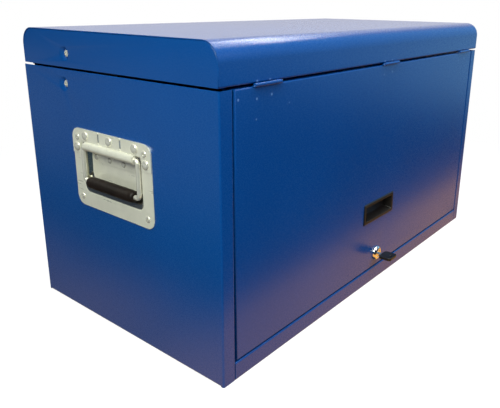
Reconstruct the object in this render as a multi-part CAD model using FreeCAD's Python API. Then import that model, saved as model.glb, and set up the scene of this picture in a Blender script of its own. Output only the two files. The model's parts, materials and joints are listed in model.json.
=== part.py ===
"""Sheet-steel tool box: hinged lid, front flap on three small hinges, cam lock, recessed bail handles.

Frame: +Z up, front at -Y, origin at the middle of the footprint on the ground. Millimetres.
The left-hand pieces are drawn once and mirrored for the right.
"""
import FreeCAD, Part
import math
import os

Vector = FreeCAD.Vector
X_AXIS = Vector(1, 0, 0)
Y_AXIS = Vector(0, 1, 0)
Z_AXIS = Vector(0, 0, 1)

# ---------------------------------------------------------------- driving sizes
body_width = 785.0          # across the two side panels
body_depth = 415.0          # front post face to rear flange face
body_height = 385.0         # ground to the top edge of the side panels
lid_height = 52.0
lid_gap = 3.2               # open seam between body and lid
lid_edge_radius = 25.0      # rounded front and rear edges of the lid
lid_rear_inset = 3.4        # lid's rear wall stands in from the body's rear face

sheet = 1.2                 # steel sheet of body, lid and flap
bend_inside = 1.2           # inside radius of the folds
running_fit = 0.05          # radial clearance of a turning pin
running_gap = 0.3           # clearance between faces that move past each other

post_width = 22.5           # front face of the corner posts
post_return = 15.8          # how far the returns of the posts and of the front rail go back
stop_reach = 10.0           # tabs behind the flap's side edges
stop_length = 40.0
stop_margin = 45.0          # from the flap's top and bottom edges to the middles of the tabs
rear_flange = 18.0
side_flange = 20.0          # flange under the side panel that the floor sits on
hem_height = 9.0            # folded double edge
lid_end_flange = 12.0       # edge of the lid's end plates, inside the shell
lid_end_bevel = 1.0
lid_end_inset = 0.2         # end plate's face behind the shell's end
slit_drop = 4.0             # how far the rear panel ends below the side panel's top

rail_height = 26.5          # top of the front rail above the ground
rail_return = 14.0          # down-turned edge behind the rail, for the cam
cam_gap = 1.1               # between that edge and the cam
floor_flange = 16.0         # height of the floor's rear flange

flap_gap_side = 2.5
flap_gap_bottom = 2.3
flap_gap_top = 0.2          # flap's top edge below the side panel's top edge
flap_depth = 15.0           # depth of the flap's folded edges

stiffener_sheet = 1.0
stiffener_depth = 11.0
stiffener_crown = 28.0      # width of a hat channel's flat crown
stiffener_slope = 4.0
stiffener_foot = 12.0
lid_stiffener_offset = 190.0
flap_stiffener_height = 262.0

hinge_leaf = 1.0            # continuous hinge at the rear
hinge_radius = 3.0
hinge_pin_radius = 1.5
hinge_leaf_height = 25.0
hinge_end_margin = 15.0     # from the box's side to the hinge's end
hinge_knuckles = 7
hinge_rivets = 6
hinge_rivet_radius = 2.0
hinge_rivet_head = 4.0
hinge_rivet_head_height = 1.5
hinge_rivet_rise = 15.0     # rivet row above and below the hinge pin

flap_hinge_margin = 77.0    # from the box's side to the middle of an outer hinge
flap_hinge_radius = 2.4
flap_hinge_pin_radius = 1.25
flap_hinge_leaf = 0.9
flap_hinge_long = 38.5      # long knuckle, on the flap's leaf
flap_hinge_short = 11.5     # short knuckle, on the lid's leaf
flap_hinge_leaf_height = 22.0
hinge_notch_gap = 0.5       # around the neck of each leaf

handle_height = 246.0       # middle of the handle plate above the ground
handle_plate_width = 175.0
handle_plate_height = 117.0
handle_corner = 15.0
handle_sheet = 1.5
cover_sheet = 1.2
dish_depth = 9.0            # behind the outer face of the side panel
dish_sheet = 1.2
dish_width = 133.0          # at the mouth
dish_bottom = 36.5          # mouth's lower edge below the plate's middle
dish_top = 42.0             # mouth's upper edge above the plate's middle
dish_corner = 9.0
corner_flats = 3            # flats round a corner of the dish and of the pull
dish_draft_side = 9.0
dish_draft_bottom = 20.5
dish_draft_top = 2.0
cutout_gap = 1.2            # between the dish and the cut-out in the side panel

bail_wire_radius = 3.5
bail_arm_spacing = 123.0    # centre to centre of the arms
bail_drop = 52.5            # rod centre to grip centre
bail_wire_ends = 0.6        # between the wire's two ends
mitre_block = 40.0
bail_bend = 6.0             # centreline radius of the wire's bends
rod_height = 34.0           # rod centre above the plate's middle
rod_stand = 3.0             # rod centre in front of the side panel's outer face
rod_housing_radius = 6.2    # outside of the cover's half-round housing
rod_housing_length = 111.0
rod_land = 7.0              # length of each tight bearing land in the housing
cover_notch = 12.5          # room for each arm beside the housing
ear_drop = 21.0             # the cover's ears end this far above the plate's middle
spring_inner = 26.0         # torsion springs on the rod, from the middle
spring_length = 20.0
spring_wire = 1.1
spring_gap = 0.25           # between the spring and the rod
spring_leg_reach = 2.5
spring_leg_drop = 9.0
grip_radius = 8.75
grip_length = 122.0
grip_end_bevel = 5.0
grip_sides = 24

head_sides = 12             # flat faces round a domed head
shank_sides = 6             # and round a rivet's shank and its holes
dome_shoulder = 0.8         # a head's radius at its shoulder and crown, and the shoulder's height
dome_crown = 0.4
dome_shoulder_rise = 0.65
dome_radius = 6.5
dome_rise = 3.2
dome_top_spacing = 55.0
dome_top_height = 49.0
dome_side_offset = 76.5
dome_side_height = 31.0
blind_radius = 4.6
blind_rise = 1.5
blind_hole = 1.4
blind_spacing_y = 74.5
blind_spacing_z = 45.0
strap_rivet_radius = 4.0
strap_rivet_rise = 2.2
strap_rivet_shank = 1.8
strap_rivet_spacing = 31.5
strap_rivet_height = 17.5
strap_sheet = 1.0
strap_foot = 12.0
rivet_shank = 2.4
rivet_tail = 3.8
rivet_tail_height = 1.5
blind_tail_height = 3.5
slot_offset = 24.5          # spring slots in the cover
slot_height = 10.5
slot_width = 2.6
slot_middle = 49.5

stay_screw_radius = 3.0
stay_screw_head = 5.25
stay_screw_head_height = 3.3
stay_head_sunk = 2.6        # head's face below the panel's face
screw_hole_gap = 0.4
stay_dimple_mouth = 11.0
stay_dimple_seat = 7.5
stay_arm_sheet = 2.0
stay_arm_width = 16.0
stay_nut_height = 5.0
stay_nut_across = 10.0
stay_spacer_radius = 5.8
knee_head_height = 1.4
stay_lid_y = 95.5           # pivot in the lid's end plate
stay_lid_rise = 18.8        # above the lid's lower edge
stay_body_y = 102.5         # pivot in the side panel
stay_body_drop = 21.0       # below the side panel's top edge

pull_height = 137.0
pull_width = 103.0
pull_tall = 38.0
pull_rim_rise = 1.6
pull_rim = 4.5
pull_depth = 16.0
pull_wall = 1.6
pull_draft = 3.0
pull_corner = 2.2

lock_height = 52.5
lock_head_radius = 10.5
lock_head_rise = 9.0
lock_head_bevel = 1.2
lock_sides = 24
lock_body_radius = 9.4
lock_plug_radius = 5.8
lock_plate_sheet = 1.5
lock_plate_size = 56.0
lock_nut_height = 3.5
lock_nut_across = 24.0
cam_sheet = 2.0
cam_width = 14.0
cam_reach = 32.0
cam_square = 8.0
cam_screw_radius = 1.6
cam_screw_length = 5.0
cam_screw_head = 5.0
cam_screw_head_height = 2.2
keyway_gap = 0.35           # round the key's blade
key_blade_width = 6.4
key_blade_sheet = 2.0
key_blade_depth = 20.0
key_neck = 4.0
key_bow_width = 27.0
key_bow_length = 23.0
key_bow_sheet = 5.0
key_bow_corner = 5.5
key_ring_hole = 2.2
key_ring_margin = 3.0

# ---------------------------------------------------------------- derived places
half_width = body_width / 2
front_y = -body_depth / 2
rear_y = body_depth / 2
lid_bottom = body_height + lid_gap
lid_top = lid_bottom + lid_height
lid_rear_y = rear_y - lid_rear_inset
bend_outside = bend_inside + sheet
post_x = half_width - post_width
return_y = front_y + post_return
rear_top = body_height - slit_drop
hinge_y = rear_y - 2 * sheet - hinge_leaf + hinge_radius
hinge_z = body_height + lid_gap / 2
flap_half = post_x - flap_gap_side
flap_bottom = rail_height + flap_gap_bottom
flap_top = body_height - flap_gap_top
flap_hinge_y = front_y - flap_hinge_radius
flap_hinge_z = hinge_z
hinge_notch_back = front_y + sheet + 2 * flap_hinge_leaf
left_face = -half_width
rod_x = left_face - rod_stand
rod_z = handle_height + rod_height
stay_lid_z = lid_bottom + stay_lid_rise
stay_body_z = body_height - stay_body_drop
dimple_depth = stay_head_sunk + stay_screw_head_height
lock_rear = return_y + cam_gap
flap_hinge_spacing = half_width - flap_hinge_margin


# ---------------------------------------------------------------- drawing helpers
def plan(a, b, c):
    """A profile drawn from above and extruded upwards."""
    return Vector(a, b, c)


def side_view(a, b, c):
    """A profile drawn in the YZ plane and extruded along X."""
    return Vector(c, a, b)


def front_view(a, b, c):
    """A profile drawn in the XZ plane and extruded along Y."""
    return Vector(a, c, b)


def heading(p, q):
    length = math.hypot(q[0] - p[0], q[1] - p[1])
    return (q[0] - p[0]) / length, (q[1] - p[1]) / length


def offset_outline(outline, distance):
    """The open outline moved to the right of its walk, with mitred corners."""
    moved = []
    for i, point in enumerate(outline):
        before = heading(outline[max(i - 1, 0)], outline[max(i, 1)])
        after = heading(outline[min(i, len(outline) - 2)], outline[min(i + 1, len(outline) - 1)])
        normal = (before[1] + after[1], -before[0] - after[0])
        scale = distance / (1 + before[0] * after[0] + before[1] * after[1])
        moved.append((point[0] + normal[0] * scale, point[1] + normal[1] * scale))
    return moved


def rounded_edges(points, right_radius, left_radius, view, level):
    """Lines and tangent arcs along an open outline; right and left turns have their own radius."""
    edges = []
    start = view(points[0][0], points[0][1], level)
    for i in range(1, len(points) - 1):
        before = heading(points[i - 1], points[i])
        after = heading(points[i], points[i + 1])
        cross = before[0] * after[1] - before[1] * after[0]
        dot = before[0] * after[0] + before[1] * after[1]
        radius = left_radius if cross > 0 else right_radius
        turn = math.atan2(abs(cross), dot)
        run = radius * math.tan(turn / 2)
        corner = points[i]
        first = (corner[0] - before[0] * run, corner[1] - before[1] * run)
        last = (corner[0] + after[0] * run, corner[1] + after[1] * run)
        inward = heading((0, 0), (after[0] - before[0], after[1] - before[1]))
        reach = radius / math.cos(turn / 2) - radius
        middle = (corner[0] + inward[0] * reach, corner[1] + inward[1] * reach)
        edges.append(Part.LineSegment(start, view(*first, level)).toShape())
        edges.append(Part.Arc(view(*first, level), view(*middle, level), view(*last, level)).toShape())
        start = view(*last, level)
    edges.append(Part.LineSegment(start, view(points[-1][0], points[-1][1], level)).toShape())
    return edges


def folded(outline, thickness, inside, view, start, end):
    """A folded sheet: the outline is its outer face and the sheet lies to the right of the walk."""
    inner = offset_outline(outline, thickness)
    edges = rounded_edges(outline, inside + thickness, inside, view, start)
    edges.append(Part.LineSegment(view(*outline[-1], start), view(*inner[-1], start)).toShape())
    edges += list(reversed(rounded_edges(inner, inside, inside + thickness, view, start)))
    edges.append(Part.LineSegment(view(*inner[0], start), view(*outline[0], start)).toShape())
    wire = Part.Wire(Part.__sortEdges__(edges))
    return Part.Face(wire).extrude(view(0, 0, end - start))


def bent(outline, thickness, view, start, end):
    """A small folded sheet with sharp folds, which keeps its faces few."""
    ring = [view(*p, start) for p in outline + list(reversed(offset_outline(outline, thickness)))]
    return Part.Face(Part.makePolygon(ring + ring[:1])).extrude(view(0, 0, end - start))


def box(x0, x1, y0, y1, z0, z1):
    return Part.makeBox(x1 - x0, y1 - y0, z1 - z0, Vector(x0, y0, z0))


def cylinder(radius, start, end):
    run = end.sub(start)
    return Part.makeCylinder(radius, run.Length, start, run)


def rounded_rectangle(x, y0, y1, z0, z1, radius):
    """A closed wire in a plane of constant x."""
    k = radius * (1 - math.sqrt(0.5))
    corners = [
        (y1 - radius, z0, y1 - k, z0 + k, y1, z0 + radius),
        (y1, z1 - radius, y1 - k, z1 - k, y1 - radius, z1),
        (y0 + radius, z1, y0 + k, z1 - k, y0, z1 - radius),
        (y0, z0 + radius, y0 + k, z0 + k, y0 + radius, z0),
    ]
    edges = []
    last = Vector(x, y0 + radius, z0)
    for ya, za, ym, zm, yb, zb in corners:
        first = Vector(x, ya, za)
        edges.append(Part.LineSegment(last, first).toShape())
        last = Vector(x, yb, zb)
        edges.append(Part.Arc(first, Vector(x, ym, zm), last).toShape())
    return Part.Wire(edges)


def ring_points(x, y0, y1, z0, z1, radius):
    """Points round a rectangle with rounded corners, in a plane of constant x; each corner has a few flats."""
    centres = [(y1 - radius, z1 - radius), (y0 + radius, z1 - radius), (y0 + radius, z0 + radius),
               (y1 - radius, z0 + radius)]
    points = []
    for quarter, (y, z) in enumerate(centres):
        for i in range(corner_flats + 1):
            turn = math.pi / 2 * (quarter + i / corner_flats)
            points.append(Vector(x, y + radius * math.cos(turn), z + radius * math.sin(turn)))
    return points


def flat_face(corners):
    return Part.Face(Part.makePolygon(corners + corners[:1]))


def flat_walls(levels):
    """A solid with flat walls between rings of the same number of points."""
    faces = [flat_face(levels[0][::-1]), flat_face(levels[-1])]
    for low, high in zip(levels, levels[1:]):
        faces += [flat_face([low[i - 1], low[i], high[i], high[i - 1]]) for i in range(len(low))]
    solid = Part.makeSolid(Part.makeShell(faces))
    return solid if solid.Volume > 0 else solid.reversed()


def slab(x0, x1, y0, y1, z0, z1, radius):
    """A plate between two planes of constant x, with rounded corners."""
    return Part.Face(rounded_rectangle(x0, y0, y1, z0, z1, radius)).extrude(Vector(x1 - x0, 0, 0))


def turned(rings, sides, base, direction):
    """A small turned form with few faces: regular rings of (radius, height) joined by flat faces."""
    turns = [math.tau * i / sides for i in range(sides)]
    solid = flat_walls([[Vector(r * math.cos(a), r * math.sin(a), height) for a in turns] for r, height in rings])
    solid.Placement = FreeCAD.Placement(base, FreeCAD.Rotation(Z_AXIS, direction))
    return solid


def dome(radius, rise, base, direction):
    """A low domed head in two steps."""
    rings = [(radius, 0), (dome_shoulder * radius, dome_shoulder_rise * rise), (dome_crown * radius, rise)]
    return turned(rings, head_sides, base, direction)


def button(radius, rise, base, direction):
    """A flat head with one bevel."""
    return turned([(radius, 0), (dome_shoulder * radius, rise)], shank_sides, base, direction)


def peg(radius, start, end):
    """A rivet's shank, or the hole that it fills."""
    run = end.sub(start)
    return turned([(radius, 0), (radius, run.Length)], shank_sides, start, run)


def hexagon(across, height, base, direction):
    ring = [Vector(across / math.sqrt(3) * math.cos(math.radians(60 * i)),
                   across / math.sqrt(3) * math.sin(math.radians(60 * i)), 0) for i in range(7)]
    solid = Part.Face(Part.makePolygon(ring)).extrude(Vector(0, 0, height))
    solid.Placement = FreeCAD.Placement(base, FreeCAD.Rotation(Z_AXIS, direction))
    return solid


def bar_outline(start, end, half):
    """Eight points round a flat bar with blunt ends, half its width beyond each pivot."""
    along = heading(start, end)
    across = (-along[1], along[0])
    blunt = half * math.tan(math.radians(22.5))
    points = []
    for pivot, sign in ((start, -1), (end, 1)):
        for out, side in ((blunt, -1), (half, -1), (half, 1), (blunt, 1)):
            wide = half if out == blunt else blunt
            points.append((pivot[0] + sign * (along[0] * out + across[0] * wide * side),
                           pivot[1] + sign * (along[1] * out + across[1] * wide * side)))
    return points


def joined(first, *others):
    return first.fuse(list(others)).removeSplitter()


def mirrored(shape):
    return shape.mirror(Vector(0, 0, 0), X_AXIS)


def edges_at(shape, test):
    """Edges of which both ends and the middle pass the test."""
    found = []
    for edge in shape.Edges:
        points = [v.Point for v in edge.Vertexes]
        points.append(edge.valueAt((edge.FirstParameter + edge.LastParameter) / 2))
        if all(test(p) for p in points):
            found.append(edge)
    return found


parts = {}


# ---------------------------------------------------------------- side panels
def pressed_dimple(panel, face_x, y, z):
    """A cone pressed inwards from the outer face, with a flat seat and a screw hole."""
    wall = 0.9 * sheet
    start = Vector(face_x, y, z)
    back = turned([(stay_dimple_mouth + wall, 0), (stay_dimple_seat + wall, dimple_depth + sheet)],
                  head_sides, start, X_AXIS)
    front = turned([(stay_dimple_mouth, 0), (stay_dimple_seat, dimple_depth)], head_sides, start, X_AXIS)
    hole = turned([(stay_screw_radius + screw_hole_gap, 0),
                   (stay_screw_radius + screw_hole_gap, dimple_depth + 2 * sheet)], head_sides, start, X_AXIS)
    return panel.fuse(back).cut(front.fuse(hole))


def handle_points(spacing_y, height):
    return [Vector(left_face, side * spacing_y, handle_height + height) for side in (-1, 1)]


dome_points = handle_points(dome_top_spacing, dome_top_height)
dome_points += handle_points(dome_side_offset, dome_side_height)
dome_points.append(Vector(left_face, 0, handle_height + dome_top_height))
blind_points = handle_points(blind_spacing_y, blind_spacing_z) + handle_points(blind_spacing_y, -blind_spacing_z)


def through_holes(points, radius, outside, inside):
    holes = [peg(radius, p - X_AXIS * outside, p + X_AXIS * inside) for p in points]
    return holes[0].fuse(holes[1:])


def side_panel():
    outline = [(-post_x, return_y), (-post_x, front_y), (left_face, front_y), (left_face, rear_y),
               (left_face + rear_flange, rear_y)]
    panel = folded(outline, sheet, bend_inside, plan, sheet, body_height)
    fold_front = front_y + 2 * bend_outside
    fold_rear = rear_y - 2 * bend_outside
    panel = panel.cut(box(left_face + bend_outside, 0, rear_y - 2 * sheet, rear_y + 1, rear_top, body_height + 1))
    panel = panel.cut(box(left_face - 1, left_face + bend_outside, fold_front, fold_rear, 0, sheet + bend_outside))
    flange = folded([(left_face + side_flange, sheet), (left_face, sheet), (left_face, 3 * bend_outside)],
                    sheet, bend_inside, front_view, fold_front, fold_rear)
    panel = panel.cut(box(left_face - 1, left_face + sheet + 0.1, fold_front, fold_rear,
                          body_height - sheet, body_height + 1))
    hem = box(left_face, left_face + 2 * sheet, fold_front, fold_rear, body_height - hem_height, body_height - sheet)
    roll = cylinder(sheet, Vector(left_face + sheet, fold_front, body_height - sheet),
                    Vector(left_face + sheet, fold_rear, body_height - sheet))
    panel = joined(panel, flange, hem, roll)
    panel = pressed_dimple(panel, left_face, stay_body_y, stay_body_z)
    grow = dish_sheet + cutout_gap
    edge = (-dish_width / 2 - grow, dish_width / 2 + grow, handle_height - dish_bottom - grow,
            handle_height + dish_top + grow, dish_corner + grow)
    opening = flat_walls([ring_points(left_face - 1, *edge), ring_points(left_face + sheet + 1, *edge)])
    holes = through_holes(dome_points + blind_points, rivet_shank, 1, 2 * sheet)
    return panel.cut(opening.fuse(holes)).removeSplitter()


parts["left_side_panel"] = side_panel()
parts["right_side_panel"] = mirrored(parts["left_side_panel"])


def flap_stops():
    """Four flat tabs on the rear edges of the posts' returns, just behind the closed flap."""
    tabs = []
    for side in (-1, 1):
        for z in (flap_bottom + stop_margin, flap_top - stop_margin):
            ends = sorted((side * (post_x - stop_reach), side * (post_x + sheet)))
            tabs.append(box(*ends, return_y, return_y + sheet, z - stop_length / 2, z + stop_length / 2))
    return Part.makeCompound(tabs)


parts["flap_stops"] = flap_stops()


# ---------------------------------------------------------------- floor pan and rear panel
floor_half = half_width - bend_outside - 0.1
rear_panel_y = rear_y - sheet
hinge_half = half_width - hinge_end_margin
rivet_pitch = (2 * hinge_half - 2 * hinge_rivet_rise) / (hinge_rivets - 1)
rivet_places = [-hinge_half + hinge_rivet_rise + rivet_pitch * i for i in range(hinge_rivets)]


def rivet_row_holes(z, y0, y1):
    holes = [peg(hinge_rivet_radius, Vector(x, y0, z), Vector(x, y1, z)) for x in rivet_places]
    return holes[0].fuse(holes[1:])


def floor_pan():
    inside_y = rear_panel_y - sheet
    outline = [(inside_y, floor_flange), (inside_y, 0), (front_y, 0), (front_y, rail_height),
               (return_y, rail_height), (return_y, rail_height - rail_return)]
    pan = folded(outline, sheet, bend_inside, side_view, -floor_half, floor_half)
    for side in (-1, 1):
        ends = sorted((side * (post_x - running_gap), side * (half_width + 1)))
        pan = pan.cut(box(*ends, front_y - 1, return_y + sheet, -1, body_height))
    return pan.removeSplitter()


parts["floor_pan"] = floor_pan()

rear_panel = box(-floor_half, floor_half, rear_panel_y - sheet, rear_panel_y, sheet + running_gap, rear_top)
parts["rear_panel"] = rear_panel.cut(rivet_row_holes(hinge_z - hinge_rivet_rise, rear_panel_y - 5, rear_y))


# ---------------------------------------------------------------- lid
def lid_shell():
    outline = [(front_y + flap_depth - 3, lid_bottom), (front_y, lid_bottom), (front_y, lid_top),
               (lid_rear_y, lid_top), (lid_rear_y, lid_bottom)]
    # The lower front fold is tight and the two top edges are large, so the sheet is drawn in two runs.
    shell = folded(outline[1:], sheet, lid_edge_radius - sheet, side_view, -half_width, half_width)
    shell = shell.cut(box(-half_width - 1, half_width + 1, front_y - 1, front_y + 2 * sheet,
                          lid_bottom - 1, lid_bottom + 2 * bend_outside))
    fold = folded([outline[0], outline[1], (front_y, lid_bottom + 2 * bend_outside)],
                  sheet, bend_inside, side_view, -half_width, half_width)
    shell = joined(shell, fold)
    for side in (-1, 1):
        ends = sorted((side * (half_width - lid_end_flange - 1), side * (half_width + 1)))
        shell = shell.cut(box(*ends, front_y + sheet, front_y + flap_depth, lid_bottom - 1,
                              lid_bottom + bend_outside + 0.1))
    for x in flap_hinge_places:
        neck_start = x + flap_hinge_long / 2 + running_gap - hinge_notch_gap
        neck_end = neck_start + flap_hinge_short + 2 * hinge_notch_gap
        neck_top = flap_hinge_z + flap_hinge_radius + hinge_notch_gap
        shell = shell.cut(box(neck_start, neck_end, front_y - 1, front_y + sheet, lid_bottom - 1, neck_top))
        shell = shell.cut(box(neck_start, neck_end, front_y + sheet, hinge_notch_back, lid_bottom - 1,
                              lid_bottom + bend_outside + 0.1))
    return shell.cut(rivet_row_holes(hinge_z + hinge_rivet_rise, lid_rear_y - 5, rear_y)).removeSplitter()


flap_hinge_places = [-flap_hinge_spacing, 0.0, flap_hinge_spacing]
parts["lid_shell"] = lid_shell()


def end_profile(inset, bottom, x):
    """The lid's cross-section moved in by an inset, as a wire in a plane of constant x."""
    radius = lid_edge_radius - inset
    y0 = front_y + inset
    y1 = lid_rear_y - inset
    top = lid_top - inset
    k = radius * (1 - math.sqrt(0.5))
    edges = [
        Part.LineSegment(Vector(x, y1, bottom), Vector(x, y0, bottom)).toShape(),
        Part.LineSegment(Vector(x, y0, bottom), Vector(x, y0, top - radius)).toShape(),
        Part.Arc(Vector(x, y0, top - radius), Vector(x, y0 + k, top - k), Vector(x, y0 + radius, top)).toShape(),
        Part.LineSegment(Vector(x, y0 + radius, top), Vector(x, y1 - radius, top)).toShape(),
        Part.Arc(Vector(x, y1 - radius, top), Vector(x, y1 - k, top - k), Vector(x, y1, top - radius)).toShape(),
        Part.LineSegment(Vector(x, y1, top - radius), Vector(x, y1, bottom)).toShape(),
    ]
    return Part.Wire(edges)


def lid_end():
    face_x = left_face + lid_end_inset
    outer = Part.Face(end_profile(sheet, lid_bottom, face_x)).extrude(Vector(lid_end_flange, 0, 0))
    rim = [e for e in edges_at(outer, lambda p: abs(p.x - face_x) < 1e-6)
           if max(v.Z for v in e.Vertexes) > lid_bottom + 1]
    outer = outer.makeChamfer(lid_end_bevel, rim)
    inner = Part.Face(end_profile(2 * sheet, lid_bottom - 1, face_x + sheet)).extrude(Vector(lid_end_flange, 0, 0))
    plate = outer.cut(inner)
    hem = box(face_x, face_x + 2 * sheet, front_y + 2 * bend_outside, lid_rear_y - 2 * bend_outside,
              lid_bottom, lid_bottom + hem_height - 1)
    plate = joined(plate, hem)
    return pressed_dimple(plate, face_x, stay_lid_y, stay_lid_z).removeSplitter()


parts["lid_left_end"] = lid_end()
parts["lid_right_end"] = mirrored(parts["lid_left_end"])


def hat_channel(view, centre, foot_face, depth_sign, start, end):
    """A hat-section stiffener whose feet lie on a sheet; the crown stands off by its depth."""
    crown = stiffener_crown / 2
    root = crown + stiffener_slope
    toe = root + stiffener_foot
    low = foot_face + depth_sign * stiffener_sheet
    high = foot_face + depth_sign * stiffener_depth
    outline = [(centre + toe, low), (centre + root, low), (centre + crown, high),
               (centre - crown, high), (centre - root, low), (centre - toe, low)]
    if view is side_view:
        outline = [(b, a) for a, b in outline]
    return bent(outline, stiffener_sheet, view, start, end)


lid_inner_front = front_y + lid_edge_radius + 5
lid_inner_rear = lid_rear_y - lid_edge_radius - 5
hats = [hat_channel(front_view, side * lid_stiffener_offset, lid_top - sheet, -1, lid_inner_front, lid_inner_rear)
        for side in (-1, 1)]
parts["lid_stiffeners"] = Part.makeCompound(hats)


# ---------------------------------------------------------------- continuous rear hinge
knuckle_pitch = 2 * hinge_half / hinge_knuckles


def rear_leaf(first_knuckle, direction):
    """A hinge leaf with every second knuckle; direction is -1 for the body's leaf and +1 for the lid's."""
    leaf_y = hinge_y - hinge_radius
    near = hinge_z + direction * (hinge_radius + 0.5)
    far = hinge_z + direction * hinge_leaf_height
    leaf = box(-hinge_half, hinge_half, leaf_y, leaf_y + hinge_leaf, min(near, far), max(near, far))
    pieces = []
    for i in range(first_knuckle, hinge_knuckles, 2):
        x0 = -hinge_half + i * knuckle_pitch + running_gap / 2
        x1 = x0 + knuckle_pitch - running_gap
        neck = box(x0, x1, leaf_y, leaf_y + hinge_leaf, min(hinge_z, near), max(hinge_z, near))
        pieces.append(neck)
        pieces.append(cylinder(hinge_radius, Vector(x0, hinge_y, hinge_z), Vector(x1, hinge_y, hinge_z)))
    leaf = joined(leaf, *pieces)
    bore = cylinder(hinge_pin_radius + running_fit, Vector(-half_width, hinge_y, hinge_z),
                    Vector(half_width, hinge_y, hinge_z))
    holes = rivet_row_holes(hinge_z + direction * hinge_rivet_rise, leaf_y - 1, leaf_y + hinge_leaf + 1)
    return leaf.cut(bore.fuse(holes))


parts["rear_hinge_body_leaf"] = rear_leaf(0, -1)
parts["rear_hinge_lid_leaf"] = rear_leaf(1, 1)
parts["rear_hinge_pin"] = cylinder(hinge_pin_radius, Vector(-hinge_half, hinge_y, hinge_z),
                                   Vector(hinge_half, hinge_y, hinge_z))


def rivet_row(z, inner_y, outer_y):
    rivets = []
    for x in rivet_places:
        shank = peg(hinge_rivet_radius, Vector(x, inner_y, z), Vector(x, outer_y, z))
        outer_head = button(hinge_rivet_head, hinge_rivet_head_height, Vector(x, outer_y, z), Y_AXIS)
        inner_head = button(hinge_rivet_head, hinge_rivet_head_height, Vector(x, inner_y, z), -Y_AXIS)
        rivets.append(joined(shank, outer_head, inner_head))
    return Part.makeCompound(rivets)


leaf_inner_y = hinge_y - hinge_radius
parts["rear_hinge_body_rivets"] = rivet_row(hinge_z - hinge_rivet_rise, leaf_inner_y, rear_panel_y)
parts["rear_hinge_lid_rivets"] = rivet_row(hinge_z + hinge_rivet_rise, lid_rear_y - sheet, leaf_inner_y + hinge_leaf)


# ---------------------------------------------------------------- front flap
def along_lock(radius, y0, y1):
    return cylinder(radius, Vector(0, y0, lock_height), Vector(0, y1, lock_height))


def lock_barrel(y0, y1):
    """The threaded body, or the hole that it fills."""
    return turned([(lock_body_radius, 0), (lock_body_radius, y1 - y0)], lock_sides, Vector(0, y0, lock_height), Y_AXIS)


def flap_panel():
    tray = box(-flap_half, flap_half, front_y, front_y + flap_depth, flap_bottom, flap_top)
    tray = tray.makeFillet(bend_outside, edges_at(tray, lambda p: abs(p.y - front_y) < 1e-6))
    tray = tray.cut(box(-flap_half + sheet, flap_half - sheet, front_y + sheet, front_y + flap_depth + 1,
                        flap_bottom + sheet, flap_top - sheet))
    cut_w = pull_width / 2 - pull_rim + 0.3
    cut_h = pull_tall / 2 - pull_rim + 0.3
    tray = tray.cut(box(-cut_w, cut_w, front_y - 1, front_y + 2 * sheet, pull_height - cut_h, pull_height + cut_h))
    tray = tray.cut(lock_barrel(front_y - 1, front_y + 2 * sheet))
    for x in flap_hinge_places:
        half = flap_hinge_long / 2 + hinge_notch_gap
        neck_low = flap_hinge_z - flap_hinge_radius - hinge_notch_gap
        tray = tray.cut(box(x - half, x + half, front_y - 1, front_y + sheet, neck_low, flap_top + 1))
        tray = tray.cut(box(x - half, x + half, front_y + sheet, hinge_notch_back,
                            flap_top - bend_outside - 0.1, flap_top + 1))
    return tray.removeSplitter()


parts["flap_panel"] = flap_panel()
parts["flap_stiffener"] = hat_channel(side_view, flap_stiffener_height, front_y + sheet, 1,
                                      -flap_half + 25, flap_half - 25)
plate = box(-lock_plate_size / 2, lock_plate_size / 2, front_y + sheet, front_y + sheet + lock_plate_sheet,
            flap_bottom + 2 * bend_outside, flap_bottom + 2 * bend_outside + 0.7 * lock_plate_size)
parts["lock_plate"] = plate.cut(lock_barrel(front_y, front_y + flap_depth))


def flap_hinge_leaves(on_flap):
    """Three leaves, each with one knuckle; the neck runs through the seam and the leaf lies inside."""
    leaves = []
    sign = -1 if on_flap else 1
    level = flap_hinge_z + sign * flap_hinge_radius
    inner = front_y + sheet
    outline = [(flap_hinge_y, level), (inner, level), (inner, level + sign * flap_hinge_leaf_height)]
    if on_flap:
        outline.reverse()
    for x in flap_hinge_places:
        long_end = x + flap_hinge_long / 2
        x0, x1 = x - flap_hinge_long / 2, long_end
        if not on_flap:
            x0, x1 = long_end + running_gap, long_end + running_gap + flap_hinge_short
        neck = bent(outline, flap_hinge_leaf, side_view, x0, x1)
        barrel = cylinder(flap_hinge_radius, Vector(x0, flap_hinge_y, flap_hinge_z),
                          Vector(x1, flap_hinge_y, flap_hinge_z))
        pieces = [barrel]
        if not on_flap:
            lift = lid_bottom + 2 * sheet
            pieces.append(box(x - flap_hinge_long / 2, x1, inner, inner + flap_hinge_leaf,
                              lift, level + flap_hinge_leaf_height))
        leaf = joined(neck, *pieces)
        bore = cylinder(flap_hinge_pin_radius + running_fit, Vector(x0 - 1, flap_hinge_y, flap_hinge_z),
                        Vector(x1 + 1, flap_hinge_y, flap_hinge_z))
        leaves.append(leaf.cut(bore))
    return Part.makeCompound(leaves)


parts["flap_hinge_lid_leaves"] = flap_hinge_leaves(False)
parts["flap_hinge_flap_leaves"] = flap_hinge_leaves(True)
pins = []
for x in flap_hinge_places:
    start = Vector(x - flap_hinge_long / 2, flap_hinge_y, flap_hinge_z)
    pins.append(cylinder(flap_hinge_pin_radius, start,
                         start + X_AXIS * (flap_hinge_long + running_gap + flap_hinge_short)))
parts["flap_hinge_pins"] = Part.makeCompound(pins)


# ---------------------------------------------------------------- recessed pull
def pull_ring(y, half_w, half_h, radius):
    """Points round a rounded rectangle in a plane of constant y, around the pull's middle."""
    ring = ring_points(0, -half_w, half_w, pull_height - half_h, pull_height + half_h, radius)
    return [Vector(p.y, y, p.z) for p in ring]


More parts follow.
